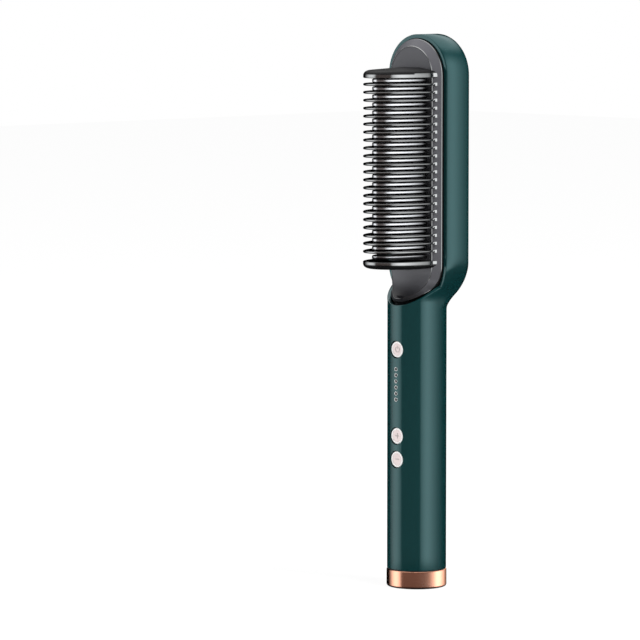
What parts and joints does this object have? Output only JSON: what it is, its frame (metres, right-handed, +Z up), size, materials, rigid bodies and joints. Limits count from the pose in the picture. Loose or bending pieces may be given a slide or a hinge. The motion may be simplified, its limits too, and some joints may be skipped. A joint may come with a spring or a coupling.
{
  "type": "heated styling brush",
  "caption": "Handheld heated straightening comb: round handle with push buttons, finned comb head with guard fins, metallic end cap and turning cord bush.",
  "frame": {"origin": "mouth of the cord bore, on the handle's axis in the plane of the end cap's bottom face", "axes": "+Z up the handle towards the comb head, -Y the way the comb's fins face, +X to the right seen from the front"},
  "size_m": [0.0412, 0.0523, 0.28],
  "materials": {
    "shell_green": "dark green gloss lacquer",
    "comb_black": "satin heat-proof plastic",
    "heater_black": "glossy ceramic coating on aluminium",
    "cap_rose_gold": "polished rose-gold plating",
    "button_rose": "pale rose gloss",
    "lens_dark": "smoked clear plastic",
    "inner_black": "moulded black nylon",
    "steel": "zinc-plated steel",
    "brass": "plain brass",
    "board_green": "solder-resist laminate",
    "insulator": "insulating film and wire jacket",
    "element": "heating element ceramic",
    "part_black": "moulded electronic package",
    "led_white": "lamp package"
  },
  "bodies": {
    "handle": {"body_shell": "shell_green", "end_cap": "cap_rose_gold", "swivel_retainer": "inner_black", "retainer_screws": "steel", "brush_block": "inner_black", "contact_leaves": "brass", "guard_comb": "comb_black", "heater_comb": "heater_black", "heater_screws": "steel", "element_film": "insulator", "heating_element": "element", "clamp_plate": "steel", "clamp_screws": "steel", "heat_shield": "inner_black", "shield_screws": "steel", "thermistor": "part_black", "thermal_cutout": "steel", "indicator_lenses": "lens_dark", "indicator_leds": "led_white", "control_board": "board_green", "board_screws": "steel", "board_carrier": "inner_black", "fuse": "element", "heater_leads": "insulator", "mains_leads": "insulator", "control_chip": "part_black", "triac": "part_black", "film_capacitor": "led_white", "lead_connector": "led_white", "power_switch": "part_black", "temp_up_switch": "part_black", "temp_down_switch": "part_black"},
    "power_button": {"power_button": "button_rose", "power_plunger": "part_black"},
    "temp_up_button": {"temp_up_button": "button_rose", "temp_up_plunger": "part_black"},
    "temp_down_button": {"temp_down_button": "button_rose", "temp_down_plunger": "part_black"},
    "cord_swivel": {"cord_swivel": "inner_black", "slip_rings": "brass"}
  },
  "joints": [
    {"name": "power_press", "type": "slide", "parent": "handle", "child": "power_button", "axis": [0, 1, 0], "range_m": [0, 0.0005], "stiffness_N_per_m": 800},
    {"name": "temp_up_press", "type": "slide", "parent": "handle", "child": "temp_up_button", "axis": [0, 1, 0], "range_m": [0, 0.0005], "stiffness_N_per_m": 800},
    {"name": "temp_down_press", "type": "slide", "parent": "handle", "child": "temp_down_button", "axis": [0, 1, 0], "range_m": [0, 0.0005], "stiffness_N_per_m": 800},
    {"name": "cord_turn", "type": "hinge", "parent": "handle", "child": "cord_swivel", "pos_m": [0, 0, 0], "axis": [0, 0, 1], "continuous": true}
  ]
}
